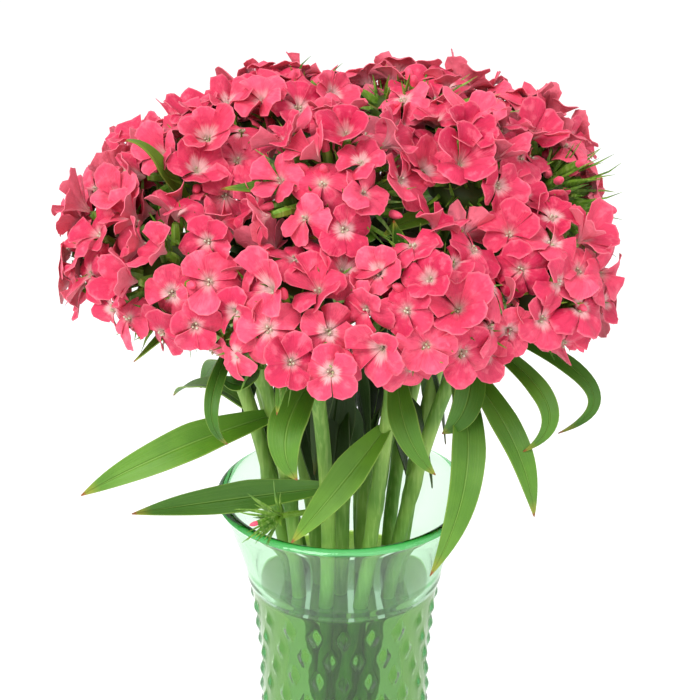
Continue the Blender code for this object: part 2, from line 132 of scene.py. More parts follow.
# %% A class for sockets and one for materials
class Link:
    """A socket of a material, with the arithmetic that adds Math nodes to it."""

    def __init__(self, finish, socket):
        self.finish = finish
        self.socket = socket

    def maths(self, operation, *values):
        return self.finish.node("ShaderNodeMath", {"operation": operation}, dict(enumerate(values)))

    def __add__(self, other):
        return self.maths("ADD", self, other)

    __radd__ = __add__

    def __sub__(self, other):
        return self.maths("SUBTRACT", self, other)

    def __rsub__(self, other):
        return self.maths("SUBTRACT", other, self)

    def __mul__(self, other):
        return self.maths("MULTIPLY", self, other)

    __rmul__ = __mul__

    def __abs__(self):
        return self.maths("ABSOLUTE", self)


class Finish:
    """A material with one Principled shader. Its constants are set on the shader's own sockets."""

    def __init__(self, name, constants):
        self.material = bpy.data.materials.new(name)
        self.material.use_nodes = True
        self.tree = self.material.node_tree
        self.shader = self.tree.nodes["Principled BSDF"]
        for socket, value in constants.items():
            self.shader.inputs[socket].default_value = value

    def plug(self, socket, value):
        if isinstance(value, Link):
            self.tree.links.new(value.socket, socket)
        else:
            socket.default_value = value

    def node(self, kind, settings, sockets, output=0):
        made = self.tree.nodes.new(kind)
        for name, value in settings.items():
            setattr(made, name, value)
        for name, value in sockets.items():
            self.plug(made.inputs[name], value)
        return Link(self, made.outputs[output])

    def place(self):
        """Where the shaded point is, in the row's frame."""
        return self.node("ShaderNodeTexCoord", {}, {}, output="Object")

    def attribute(self, name):
        return self.node("ShaderNodeAttribute", {"attribute_name": name}, {}, output="Fac")

    def uv(self):
        """How far across a petal or leaf the point is in X, and how far along in Y, from 0 to 1."""
        return self.node("ShaderNodeUVMap", {"uv_map": "UVMap"}, {})

    def axis(self, vector, name):
        return self.node("ShaderNodeSeparateXYZ", {}, {0: vector}, output=name)

    def stretched(self, vector, scale):
        return self.node("ShaderNodeVectorMath", {"operation": "MULTIPLY"}, {0: vector, 1: scale})

    def noise(self, vector, scale, detail=2.0):
        return self.node("ShaderNodeTexNoise", {}, {"Vector": vector, "Scale": scale, "Detail": detail})

    def step(self, value, low, high):
        """Rises smoothly from 0 where the value is low to 1 where it is high."""
        ends = {"Value": value, "From Min": low, "From Max": high}
        return self.node("ShaderNodeMapRange", {"interpolation_type": "SMOOTHSTEP"}, ends)

    def mixed(self, share, first, second):
        """A colour between two others. Sockets 6 and 7 of the node are its two colours."""
        colours = {0: share, 6: first, 7: second}
        return self.node("ShaderNodeMix", {"data_type": "RGBA"}, colours, output=2)

    def bump(self, height, distance):
        return self.node("ShaderNodeBump", {}, {"Height": height, "Distance": distance})

    def finish(self, **sockets):
        for name, value in sockets.items():
            self.plug(self.shader.inputs[name.replace("_", " ")], value)
        return self.material


def shade(red, green, blue):
    """A colour as a screen shows it, from 0 to 255, as the linear values that a shader takes."""
    return (*[(level / 255) ** 2.2 for level in (red, green, blue)], 1)


print("material helpers ready")

# %% [markdown]
# ## The petals' finish
#
# A petal is coral pink with a velvet surface. Its foot is white and runs out into the pink in fine
# rays, greyish in the throat. Thin darker veins fan out to the edge. The underside is paler and
# duller, partly its own colour and partly painted light for the light that shines through the thin
# petal. The petals carry their own coordinates, so the rays and veins follow each of them, and each
# floret has its own tone between rose and coral.

# %% The petals' finish
def petal_finish():
    velvet = {"Roughness": 0.52, "Specular IOR Level": 0.35, "Sheen Weight": 0.05, "Sheen Roughness": 0.5}
    made = Finish("petal", velvet)
    uv = made.uv()
    along = made.axis(uv, "Y")
    tone = made.attribute("tone")
    star = made.attribute("star")
    back = made.attribute("back")
    offset = made.node("ShaderNodeCombineXYZ", {}, {"Z": tone * 40})
    moved = made.node("ShaderNodeVectorMath", {"operation": "ADD"}, {0: uv, 1: offset})
    rays = made.noise(made.stretched(moved, (24, 1.2, 1)), 1.0)
    veins = made.noise(made.stretched(moved, (46, 2.5, 1)), 1.0)
    cloud = made.noise(moved, 3.0)
    crumple = made.noise(made.place(), 260.0, 3.0)

    pink = made.mixed(tone, shade(204, 34, 78), shade(240, 84, 114))
    pink = made.mixed(made.step(cloud, 0.4, 0.7) * 0.4, pink, shade(190, 28, 76))
    pink = made.mixed(made.step(crumple, 0.5, 0.72) * 0.5, pink, shade(248, 116, 138))
    pink = made.mixed(made.step(veins, 0.5, 0.7) * 0.3, pink, shade(180, 26, 66))
    pink = made.mixed(made.step(along, 0.92, 1.0) * 0.3, pink, shade(246, 140, 152))
    reach = along + (rays - 0.5) * 0.3 - star * 0.14
    white = 1 - made.step(reach, 0.06, 0.34)
    pink = made.mixed(white * (0.3 + star * 0.6), pink, shade(242, 196, 194))
    pink = made.mixed((1 - made.step(along, 0.06, 0.2)) * 0.6, pink, shade(198, 184, 156))
    # The underside is paler: partly its own colour, partly painted light for light through the thin petal.
    pink = made.mixed(back * 0.6, pink, shade(232, 126, 142))
    height = veins * 0.5 + cloud * 0.3 + crumple * 1.4
    return made.finish(Base_Color=pink, Normal=made.bump(height, 0.6 * MM))


PETAL = petal_finish()
print("finish", PETAL.name)

# %% [markdown]
# ## The green finishes
#
# The leaves are waxy and blue-green with a paler midrib and faint parallel veins, and some have a
# dry yellow-brown tip. The stems are paler and more yellow, ribbed lengthwise. Calyces and bracts
# are thin and catch the light, so they are the brightest green. One function makes the stems',
# calyces' and anthers' finishes from their colours, because these real finishes differ only in tone.
# Leaves deep in the bunch, and the cores of the heads, are painted dark olive as shade.

# %% The green finishes
def leaf_finish():
    made = Finish("leaf", {"Specular IOR Level": 0.45})
    uv = made.uv()
    along = made.axis(uv, "Y")
    tone = made.attribute("tone")
    middle = abs(made.axis(uv, "X") - 0.5)
    veins = made.noise(made.stretched(uv, (42, 0.8, 1)), 1.0)
    cloud = made.noise(made.place(), 60.0, 4.0)
    green = made.mixed(tone, shade(58, 106, 20), shade(104, 152, 42))
    green = made.mixed(made.step(cloud, 0.35, 0.7) * 0.4, green, shade(50, 96, 20))
    green = made.mixed(made.step(veins, 0.5, 0.75) * 0.16, green, shade(132, 168, 74))
    green = made.mixed((1 - made.step(middle, 0.01, 0.035)) * 0.3, green, shade(140, 176, 84))
    green = made.mixed(made.step(middle, 0.465, 0.5) * 0.4, green, shade(150, 176, 70))
    green = made.mixed(made.step(along, 0.88, 0.97) * 0.5, green, shade(176, 164, 60))
    green = made.mixed(made.step(along, 0.965, 0.985), green, shade(150, 92, 44))
    # Painted shade: a tone below zero turns the leaf dark olive, as if it lay in the shade.
    green = made.mixed(1 - made.step(tone, -1.0, 0.0), green, shade(38, 56, 14))
    height = veins * 0.5 + made.step(middle, 0.0, 0.06)
    rough = 0.42 + cloud * 0.2
    return made.finish(Base_Color=green, Roughness=rough, Normal=made.bump(height, 0.35 * MM))


def stem_finish(name, dark, light, cloud_scale):
    made = Finish(name, {"Specular IOR Level": 0.4})
    place = made.place()
    streak = made.noise(made.stretched(place, (900, 900, 60)), 1.0)
    cloud = made.noise(place, cloud_scale, 3.0)
    green = made.mixed(made.step(cloud, 0.3, 0.7), dark, light)
    green = made.mixed(made.step(streak, 0.45, 0.7) * 0.35, green, shade(168, 196, 110))
    rough = 0.4 + streak * 0.25
    return made.finish(Base_Color=green, Roughness=rough, Normal=made.bump(streak, 0.3 * MM))


LEAF = leaf_finish()
STEM = stem_finish("stem", shade(92, 136, 48), shade(136, 172, 76), 45.0)
CALYX = stem_finish("calyx", shade(62, 108, 20), shade(112, 152, 44), 160.0)
ANTHER = stem_finish("anther", shade(166, 158, 128), shade(210, 200, 180), 300.0)
print("finishes", [finish.name for finish in (LEAF, STEM, CALYX, ANTHER)])

# %% [markdown]
# ## Glass, water and table
#
# Green glass gets its colour in its depth: a thin wall is pale mint and the thick lip, seen along
# the glass, is emerald. Absorption inside the volume does exactly that, so the surface stays clear.
# Light should still reach the stems through the wall, so shadow rays see a tinted clear shader, and
# so does light that has turned more than three times, because the lip goes black without that. The
# water's index is below real water's 1.33, and it is given, like its yellow-green tint.

# %% Glass, water and table
GLASS_IOR = 1.5
GLASS_ROUGHNESS = 0.015
GLASS_COLOUR = (1, 1, 1, 1)
GLASS_TINT = (0.24, 0.72, 0.32, 1)
GLASS_DENSITY = 110.0
WATER_IOR = 1.15
WATER_COLOUR = (0.82, 0.91, 0.4, 1)
WATER_TINT = (0.6, 0.75, 0.12, 1)
WATER_DENSITY = 3.0
MOST_TURNS = 3.5
TABLE_GLOW = 0.17
TABLE_TONES = ((0.96, 0.96, 0.96, 1), (0.93, 0.93, 0.93, 1))


def clear_finish(name, colour, ior, roughness, depth_colour, density):
    """A refracting finish that lets shadow rays through and takes its colour from its depth."""
    constants = {"Base Color": colour, "IOR": ior, "Roughness": roughness, "Transmission Weight": 1.0}
    made = Finish(name, constants)
    depth = made.tree.nodes.new("ShaderNodeVolumeAbsorption")
    depth.inputs["Color"].default_value = depth_colour
    depth.inputs["Density"].default_value = density
    output = made.tree.nodes["Material Output"]
    made.tree.links.new(depth.outputs[0], output.inputs["Volume"])
    through = made.node("ShaderNodeBsdfTransparent", {}, {"Color": shade(226, 244, 230)})
    shadow = made.node("ShaderNodeLightPath", {}, {}, output="Is Shadow Ray")
    turns = made.node("ShaderNodeLightPath", {}, {}, output="Ray Depth")
    let_out = shadow.maths("MAXIMUM", shadow, turns.maths("GREATER_THAN", turns, MOST_TURNS))
    refracting = Link(made, made.shader.outputs[0])
    both = made.node("ShaderNodeMixShader", {}, {0: let_out, 1: refracting, 2: through})
    made.plug(output.inputs["Surface"], both)
    return made.material


def table_finish():
    glow = {"Roughness": 0.7, "Emission Color": (1, 1, 1, 1), "Emission Strength": TABLE_GLOW}
    made = Finish("table", glow)
    grain = made.noise(made.place(), 90.0, 4.0)
    return made.finish(Base_Color=made.mixed(grain * 0.2, *TABLE_TONES))


GLASS = clear_finish("green glass", GLASS_COLOUR, GLASS_IOR, GLASS_ROUGHNESS, GLASS_TINT, GLASS_DENSITY)
WATER = clear_finish("water", WATER_COLOUR, WATER_IOR, 0.0, WATER_TINT, WATER_DENSITY)
TABLE = table_finish()
print("finishes", GLASS.name, WATER.name, TABLE.name)

# %% [markdown]
# ## From a mesh to a piece
#
# Every finished mesh becomes one object at the origin. It is shaded smooth except at sharp edges,
# rides on the root body and stands for the nodes that it replaces.

# %% From a mesh to a piece
EASE = 6 * MM
TABLE_HALF = 6.0
TABLE_DROP = 0.2 * MM


def inside(point):
    """Eases a point that would pass the frame's sides or top to just inside them."""
    for axis, sign in ((0, -1), (0, 1), (1, -1), (1, 1), (2, 1)):
        edge = cad_box[sign > 0][axis]
        over = sign * (point[axis] - edge) + EASE
        if over > 0:
            point[axis] = edge - sign * EASE * exp(-over / EASE)


def object_of(name, mesh, finishes):
    data = bpy.data.meshes.new(name)
    mesh.to_mesh(data)
    mesh.free()
    for finish in finishes:
        data.materials.append(finish)
    made = bpy.data.objects.new(name, data)
    bpy.context.scene.collection.objects.link(made)
    return made


def piece(name, mesh, finishes, replaced, crease=50):
    bmesh.ops.recalc_face_normals(mesh, faces=mesh.faces)
    for vert in mesh.verts:
        inside(vert.co)
    made = object_of(name, mesh, finishes)
    made.data.shade_smooth()
    made.data.set_sharp_from_angle(angle=radians(crease))
    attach(made, "root")
    if replaced:
        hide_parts(*replaced)
    return made


def new_mesh():
    """An empty mesh with the layers that the finishes read."""
    mesh = bmesh.new()
    mesh.loops.layers.uv.new("UVMap")
    for layer in ("tone", "star", "back"):
        mesh.verts.layers.float.new(layer)
    return mesh


def around(turn, radius=1.0):
    return Vector((radius * cos(turn), radius * sin(turn), 0))


def toward(turn, polar):
    """The direction at a turn round the Z axis and an angle from it."""
    return around(turn, sin(polar)) + UP * cos(polar)


def scatter(draw, reach):
    return Vector([draw.uniform(-reach, reach) for _ in range(3)])


def facing(point, direction):
    """A frame at a point whose Z axis runs along a direction."""
    return Matrix.Translation(point) @ direction.to_track_quat("Z", "Y").to_matrix().to_4x4()


def thicken(mesh, thickness):
    """Gives open sheets their thickness. The new side is the upper one, so the first is the back."""
    back = mesh.verts.layers.float["back"]
    first = list(mesh.verts)
    bmesh.ops.solidify(mesh, geom=list(mesh.faces), thickness=thickness)
    for vert in first:
        vert[back] = 1.0


def table_top():
    mesh = new_mesh()
    level = Matrix.Translation(UP * (cad_box[0].z - TABLE_DROP))
    bmesh.ops.create_grid(mesh, x_segments=1, y_segments=1, size=TABLE_HALF, matrix=level)
    return object_of("table", mesh, [TABLE])


table = table_top()
print("table", TABLE_HALF * 2, "m")

# %% [markdown]
# ## The heads and their stems
#
# A head is a low dome on the end of a stem. These rows say where each one sits, which way it faces
# and which place its stem has in the vase's neck, as the frame has them. The stem stands straight in
# the vase, passes its neck at one height and then curves out along a Hermite curve to its head.

# %% The heads and their stems
HOLD_HEIGHT = 188 * MM
STEM_FOOT = 15 * MM
TWIST = radians(95)
# Radius of a ring of stems at the neck and at the foot, how many it has, where the first one stands
RINGS = {"outer": (22.5 * MM, 20 * MM, 10, 0.0), "inner": (10.5 * MM, 9 * MM, 5, radians(46))}
SEAT_DEPTH = 9 * MM
GAP = 0.3 * MM
HEAD_PULL = 0.7
DOME_FLATNESS = 0.62
CURVE_STEPS = 30

# Seat x, y, z in mm, heading and rise of the axis in degrees, dome radius in mm, ring, place in it
HEADS = {
    "front_left": (-19, -60, 325, 255, 32, 28, "outer", 7),
    "front_right": (31, -60, 331, 292, 35, 28, "outer", 8),
    "right": (72, -33, 328, 325, 32, 29, "outer", 9),
    "left": (-61, -38, 332, 215, 28, 29, "outer", 6),
    "far_left": (-83, -3, 335, 178, 28, 29, "outer", 5),
    "far_right": (77, 14, 347, 10, 34, 28, "outer", 0),
    "upper_left": (-52, 2, 360, 195, 62, 28, "inner", 2),
    "centre": (-3, -28, 362, 265, 66, 29, "inner", 3),
    "upper_right": (46, -9, 360, 320, 62, 28, "inner", 4),
    "crown_left": (-23, 31, 371, 110, 72, 28, "inner", 1),
    "crown_right": (27, 30, 372, 40, 76, 28, "inner", 0),
    "back_right": (66, 55, 352, 40, 46, 27, "outer", 1),
    "back_low": (33, 82, 332, 68, 34, 26, "outer", 2),
    "back": (-21, 78, 343, 100, 40, 29, "outer", 3),
    "back_left": (-70, 47, 341, 140, 38, 29, "outer", 4),
}


def hermite(start, start_way, end, end_way, steps):
    """Points after start on a smooth curve to end."""
    points = []
    for step in range(1, steps + 1):
        t = step / steps
        points.append(
            start * (2 * t**3 - 3 * t**2 + 1)
            + start_way * (t**3 - 2 * t**2 + t)
            + end * (3 * t**2 - 2 * t**3)
            + end_way * (t**3 - t**2)
        )
    return points


class Head:
    """Where one flower head sits, which way it faces and how its stem gets there."""

    def __init__(self, name, row):
        x, y, z, heading, rise, radius, ring, slot = row
        self.name = name
        self.sites = []
        self.seat = Vector((x, y, z)) * MM
        self.axis = around(radians(heading), cos(radians(rise))) + UP * sin(radians(rise))
        self.radius = radius * MM
        self.height = self.radius * DOME_FLATNESS
        self.frame = facing(self.seat, self.axis)
        hold, foot, places, start = RINGS[ring]
        angle = start + slot * tau / places
        self.hold = around(angle, hold) + UP * HOLD_HEIGHT
        self.foot = around(angle - TWIST, foot) + UP * STEM_FOOT

    def path(self):
        """The stem's centre line, from the cut end to the seat of the head."""
        base = self.seat - self.axis * (SEAT_DEPTH + GAP)
        reach = (base - self.hold).length
        rise = (self.hold - self.foot).normalized()
        curve = hermite(self.hold, rise * reach, base, self.axis * reach * HEAD_PULL, CURVE_STEPS)
        return [self.foot, self.hold, *curve, self.seat - self.axis * GAP]

    def at_height(self, height):
        points = self.path()
        for low, high in zip(points, points[1:]):
            if low.z <= height <= high.z:
                return low.lerp(high, (height - low.z) / (high.z - low.z))
        return points[-2]

    def on_dome(self, way, lift):
        """The point of the dome in a direction of the head's own frame, and the dome's normal there."""
        radius, height = self.radius + lift, self.height + lift
        local = Vector((way.x * radius, way.y * radius, way.z * height))
        normal = Vector((way.x / radius, way.y / radius, way.z / height)).normalized()
        return self.frame @ local, self.frame.to_3x3() @ normal


heads = {name: Head(name, row) for name, row in HEADS.items()}
print(len(heads), "heads")

# %% [markdown]
# ## Where the florets sit
#
# About twenty florets share a head. A golden-angle spiral spreads them evenly over its dome, and then
# a few rounds of pushing move each one away from neighbours that are too close, those of other heads
# too, as florets crowd each other in a real bunch. A kd-tree finds the neighbours. Those that end
# between two heads rise and turn to face outwards, so the heads close into one cushion. Here and
# there the cushion is open and shows what is below, and a few florets hang under its edge.

# %% Where the florets sit
FLORETS = 21
WIDEST_SITE = radians(97)
GOLDEN_ANGLE = pi * (3 - 5**0.5)
SPACING = 16.4 * MM
PUSH_ROUNDS = 30
PUSH_SHARE = 0.35
FLORET_LIFTS = (-2.5 * MM, 3.0 * MM)
VALLEY_START = 36 * MM
VALLEY_END = 23 * MM
VALLEY_LIFT = 5 * MM
VALLEY_TURN = 0.6
HIGHEST_SITE = 385 * MM

# Openings in the cushion: a point in mm, how wide it is, the head whose bracts show there, how many
OPENINGS = (
    ((-22, -10, 360), 17, "centre", 44),
    ((12, 20, 378), 12, "crown_right", 24),
    ((57, 20, 376), 14, "crown_right", 34),
    ((92, -6, 352), 20, "far_right", 70),
    ((34, -28, 357), 12, "upper_right", 26),
    ((13, -46, 358), 12, "centre", 24),
    ((1, 32, 388), 13, "crown_left", 12),
)
# Florets that hang under the edge of the cushion: the head, their place in mm, the way they face
STRAYS = (
    ("front_right", (24, -70, 311), (0.1, -1, 0.1)),
    ("right", (51, -62, 314), (0.2, -1, 0.1)),
)
# Below these heights, in mm, a head has no florets of its own
BARE_BELOW = {
    "front_left": 307,
    "front_right": 319,
    "left": 310,
    "right": 312,
    "far_left": 314,
    "far_right": 322,
}


class Site:
    """A floret's place on the dome of its head."""

    def __init__(self, head, way, draw):
        self.head = head
        self.way = way
        self.lift = draw.uniform(*FLORET_LIFTS)
        self.settle()

    def settle(self):
        self.place, self.normal = self.head.on_dome(self.way, self.lift)

    def move(self, push):
        local = self.head.frame.inverted() @ (self.place + push)
        way = Vector((local.x / self.head.radius, local.y / self.head.radius, local.z / self.head.height))
        way.normalize()
        way.z = max(way.z, cos(WIDEST_SITE))
        self.way = way.normalized()
        self.settle()


def spiral(head, draw):
    sites = []
    start = draw.uniform(0, tau)
    for index in range(FLORETS):
        polar = acos(1 - (index + 0.5) / FLORETS * (1 - cos(WIDEST_SITE)))
        sites.append(Site(head, toward(start + index * GOLDEN_ANGLE, polar), draw))
    return sites


def crowd(sites):
    """Pushes florets apart until they sit side by side."""
    for _ in range(PUSH_ROUNDS):
        tree = KDTree(len(sites))
        for index, site in enumerate(sites):
            tree.insert(site.place, index)
        tree.balance()
        pushes = []
        for index, site in enumerate(sites):
            push = Vector()
            for place, other, distance in tree.find_range(site.place, SPACING):
                if other != index:
                    push += (site.place - place).normalized() * (SPACING - distance)
            pushes.append(push * PUSH_SHARE)
        for site, push in zip(sites, pushes):
            site.move(push)


def close_valley(site):
    """Lifts a floret that lies between two heads along the way that both of them face."""
    others = [head for head in heads.values() if head is not site.head]
    near = min(others, key=lambda head: (site.place - head.seat).length)
    share = (VALLEY_START - (site.place - near.seat).length) / (VALLEY_START - VALLEY_END)
    share = min(1, max(0, share))
    outwards = (site.head.axis + near.axis).normalized()
    site.place = site.place + outwards * VALLEY_LIFT * share
    site.place.z = min(site.place.z, HIGHEST_SITE)
    site.normal = site.normal.lerp(outwards, share * VALLEY_TURN).normalized()


def is_open(site):
    if site.place.z < BARE_BELOW.get(site.head.name, 0) * MM:
        return True
    return any((site.place - Vector(point) * MM).length < width * MM for point, width, *_ in OPENINGS)


def stray(name, place, normal, draw):
    site = Site(heads[name], UP, draw)
    site.place = Vector(place) * MM
    site.normal = Vector(normal).normalized()
    return site


draw = Random(7)
sites = [site for head in heads.values() for site in spiral(head, draw)]
crowd(sites)
for site in sites:
    close_valley(site)
sites = [site for site in sites if not is_open(site)]
sites += [stray(*row, draw) for row in STRAYS]
for head in heads.values():
    head.sites = [site for site in sites if site.head is head]
print(len(sites), "florets placed")

# %% [markdown]
# ## One floret
#
# A petal starts as a small grid. Its rows run from the throat to the edge and its columns fan out,
# so moving each point by a formula gives the wedge shape, the rounded and toothed edge, the cupping
# and the ruffle. One side of a petal rides over its neighbour and the other dips below, as in the
# bud. Unequal cupping is what makes the florets look alive: some lie flat, some fold up and show
# their paler backs.

# %% One floret
PETALS = 5
PETAL_COLUMNS = 10
PETAL_ROWS = 5
FLORET_RADIUS = 11.6 * MM
FLORET_LEAN = 0.45
FLORET_SIZES = (0.86, 1.08)
OPENNESS = (-0.2, 0.0, 0.1, 0.2, 0.35, 0.6, 0.8, 1.1)
THROAT_RADIUS = 0.4 * MM
THROAT_DEPTH = 1.8 * MM
THROAT_STEEPNESS = 3.5
PETAL_THICKNESS = 0.28 * MM
FAN = radians(42)
CORNER = 0.24
CORNER_POWER = 2.2
TOOTH = 0.15 * MM


class Petal:
    """The random bends of one petal."""

    def __init__(self, draw, openness, size):
        self.fan = FAN * draw.uniform(0.84, 1.08)
        self.reach = FLORET_RADIUS * size * draw.uniform(0.88, 1.06)
        self.lift = openness + draw.uniform(-0.22, 0.3)
        self.curl = draw.uniform(-0.1, 0.7)
        self.bow = draw.uniform(-0.4, 0.45)
        self.tilt = draw.uniform(-0.05, 0.3)
        self.ruffle = draw.uniform(0.04, 0.1)
        self.waves = draw.uniform(1.2, 2.4)
        self.phase = draw.uniform(0, tau)
        self.teeth = [draw.uniform(0.2, 1.5) * (-1) ** column for column in range(PETAL_COLUMNS + 1)]

    def point(self, across, along):
        """The point at a share across, from -1 to 1, and along, from 0 to 1."""
        edge = self.reach * (1 - CORNER * abs(across) ** CORNER_POWER)
        if along == 1:
            edge += TOOTH * self.teeth[round((across + 1) / 2 * PETAL_COLUMNS)]
        radius = THROAT_RADIUS + (edge - THROAT_RADIUS) * along
        turn = across * self.fan
        share = radius / FLORET_RADIUS
        rise = self.lift * share - self.curl * share**3 - self.bow * across**2 * share
        rise += self.ruffle * share**2 * sin(across * pi * self.waves + self.phase)
        rise += across * share * self.tilt
        flat = around(turn, radius)
        throat = THROAT_DEPTH * (1 - min(1, along * THROAT_STEEPNESS)) ** 2
        return flat + UP * (rise * FLORET_RADIUS - throat)


def add_petal(mesh, place, petal, tone, star):
    tones = mesh.verts.layers.float["tone"]
    stars = mesh.verts.layers.float["star"]
    made = bmesh.ops.create_grid(
        mesh, x_segments=PETAL_COLUMNS, y_segments=PETAL_ROWS, size=1, calc_uvs=True
    )
    for vert in made["verts"]:
        vert.co = place @ petal.point(round(vert.co.x, 4), round((vert.co.y + 1) / 2, 4))
        vert[tones] = tone
        vert[stars] = star


def add_floret(mesh, site, draw):
    """Five petals round a throat, seen from above in the order that they overlap."""
    site.face = facing(site.place, (site.normal + scatter(draw, FLORET_LEAN)).normalized())
    site.face = site.face @ Matrix.Rotation(draw.uniform(0, tau), 4, "Z")
    openness = draw.choice(OPENNESS)
    size = draw.uniform(*FLORET_SIZES)
    tone, star = draw.random(), draw.random()
    for index in range(PETALS):
        turned = site.face @ Matrix.Rotation(index * tau / PETALS + draw.uniform(-0.08, 0.08), 4, "Z")
        add_petal(mesh, turned, Petal(draw, openness, size), tone + draw.uniform(-0.15, 0.15), star)


def petals_of(head, draw):
    mesh = new_mesh()
    for site in head.sites:
        add_floret(mesh, site, draw)
    thicken(mesh, PETAL_THICKNESS)
    return piece(f"petals_{head.name}", mesh, [PETAL], [f"bloom_{head.name}"])


petals = [petals_of(head, draw) for head in heads.values()]
print("petals with", sum(len(made.data.polygons) for made in petals), "faces")

# %% [markdown]
# ## Calyces, bracts and buds
#
# Under the petals each floret has a slim green tube, and the tubes run together at the top of the
# stem. Between them stand bracts like bent needles. They are three-sided tapering tubes here, which
# is enough at a millimetre across. Buds are closed tubes with a tip of rolled petals.

# %% Calyces, bracts and buds
# The tone that the leaf finish paints as dark olive shade, for shaded leaves and the cores of the heads
PAINTED_SHADE_TONE = -0.75
TUBE_UV = (0.4, 0.7)
CALYX_RADIUS = 1.9 * MM
BRACTS = 36
BUDS = 4
BUD_DEPTH = 2 * MM
BRACTS_PER_BUD = 14
BUD_TONE = 1.4
CORE_SHARE = 0.62
CORE_BRACTS = 44
# Places of the finishes on a piece of greens; the last is the leaf finish, which paints the core in shade
GREEN, PINK, PAINTED_SHADE = range(3)


def add_tube(mesh, points, radii, sides, tone, finish=GREEN):
    """A tapering tube of cone frusta that share their rings."""
    tones = mesh.verts.layers.float["tone"]
    last = len(points) - 1
    turn = (points[1] - points[0]).to_track_quat("Z", "Y")
    previous = []
    made = []
    for index, (point, radius) in enumerate(zip(points, radii)):
        way = points[min(index + 1, last)] - points[max(index - 1, 0)]
        turn = (turn @ UP).rotation_difference(way) @ turn
        ring = bmesh.ops.create_circle(
            mesh,
            cap_ends=index in (0, last),
            segments=sides,
            radius=radius,
            matrix=Matrix.Translation(point) @ turn.to_matrix().to_4x4(),
        )["verts"]
        made += ring
        edges = list({edge for vert in ring for edge in vert.link_edges})
        if previous:
            bmesh.ops.bridge_loops(mesh, edges=previous + edges)
        previous = edges
    uv = mesh.loops.layers.uv["UVMap"]
    for vert in made:
        vert[tones] = tone
        for loop in vert.link_loops:
            loop[uv].uv = TUBE_UV
            loop.face.material_index = finish


def bend(start, way, side, length, sag, steps):
    """Points on a gentle arc that starts along a direction and bends to a side."""
    shares = [step / steps for step in range(steps + 1)]
    return [start + way * length * share + side * length * sag * share**2 for share in shares]


def add_calyx(mesh, head, site, draw):
    throat = site.face @ (UP * -THROAT_DEPTH * 1.3)
    root = head.frame @ (around(atan2(site.way.y, site.way.x), 3 * MM) + UP * head.height * 0.05)
    middle = throat - site.face.to_3x3() @ UP * 8 * MM
    middle = middle.lerp(root, 0.25)
    points = [root, middle, throat.lerp(middle, 0.2), throat]
    radii = [CALYX_RADIUS * share for share in (0.6, 1, 0.95, 0.7)]
    add_tube(mesh, points, radii, 6, draw.random())


def add_bract(mesh, root, way, length, draw):
    """A needle-like bract that bends a little to one side."""
    side = way.cross(scatter(draw, 1)).normalized()
    points = bend(root, way, side, length, draw.uniform(0.05, 0.22), 4)
    radii = [share * MM for share in (0.85, 0.8, 0.62, 0.4, 0.08)]
    add_tube(mesh, points, radii, 3, draw.random())


def add_bud(mesh, root, tip, draw, size=1.0):
    """A closed calyx with a pink tip."""
    unit = size * MM
    way = (tip - root).normalized()
    neck = tip - way * 11 * unit
    points = [root, neck, neck.lerp(tip, 0.4), neck.lerp(tip, 0.85), tip]
    add_tube(mesh, points, [radius * unit for radius in (1.0, 1.5, 2.1, 1.9, 1.6)], 7, draw.random())
    nose = [tip, tip + way * 2 * unit, tip + way * 4.2 * unit, tip + way * 5.4 * unit]
    add_tube(mesh, nose, [radius * unit for radius in (1.5, 1.7, 1.1, 0.2)], 7, BUD_TONE, finish=PINK)


def bracts_below(mesh, head, draw):
    """The collar of bracts under a head, long at its edge and short inside it."""
    for index in range(BRACTS):
        polar = draw.uniform(0.6, 1.95)
        way = head.frame.to_3x3() @ toward(index * GOLDEN_ANGLE, polar)
        length = draw.uniform(20, 29) if polar > 1.35 else draw.uniform(13, 18)
        add_bract(mesh, head.seat + way * 3 * MM, way, length * MM, draw)


def buds_among(mesh, head, draw):
    for _ in range(BUDS):
        polar = draw.uniform(0.2, 1.5)
        tip = head.on_dome(toward(draw.uniform(0, tau), polar), -BUD_DEPTH)[0]
        add_bud(mesh, head.frame @ (UP * head.height * 0.1), tip, draw)


def fill_opening(mesh, head, point, width, bracts, draw):
    """A tuft of bracts, calyces and buds that shows where the florets leave an opening."""
    root = head.seat - head.axis * 4 * MM
    middle = Vector(point) * MM - root
    for _ in range(bracts):
        spread = scatter(draw, 1) * width * 1.1 * MM
        end = middle + spread
        start = root + spread * 0.25
        add_bract(mesh, start, end.normalized(), end.length * draw.uniform(0.65, 0.92), draw)
    for _ in range(bracts // BRACTS_PER_BUD):
        spread = scatter(draw, 0.7) * width * MM
        add_bud(mesh, root + spread * 0.3, root + middle + spread, draw)


def add_core(mesh, head, draw):
    """The mass of short calyces in a head's middle: one low dome in painted shade, with bracts over it."""
    size = Matrix.Diagonal((head.radius * CORE_SHARE, head.radius * CORE_SHARE, head.height * CORE_SHARE, 1))
    tones = mesh.verts.layers.float["tone"]
    made = bmesh.ops.create_icosphere(mesh, subdivisions=3, radius=1, matrix=head.frame @ size)
    for vert in made["verts"]:
        vert[tones] = PAINTED_SHADE_TONE
        for face in vert.link_faces:
            face.material_index = PAINTED_SHADE
    for index in range(CORE_BRACTS):
        polar = acos(1 - (index + 0.5) / CORE_BRACTS)
        start, normal = head.on_dome(toward(index * GOLDEN_ANGLE, polar), -head.height * 0.45)
        way = (normal + scatter(draw, 0.5)).normalized()
        add_bract(mesh, start, way, draw.uniform(7, 12) * MM, draw)


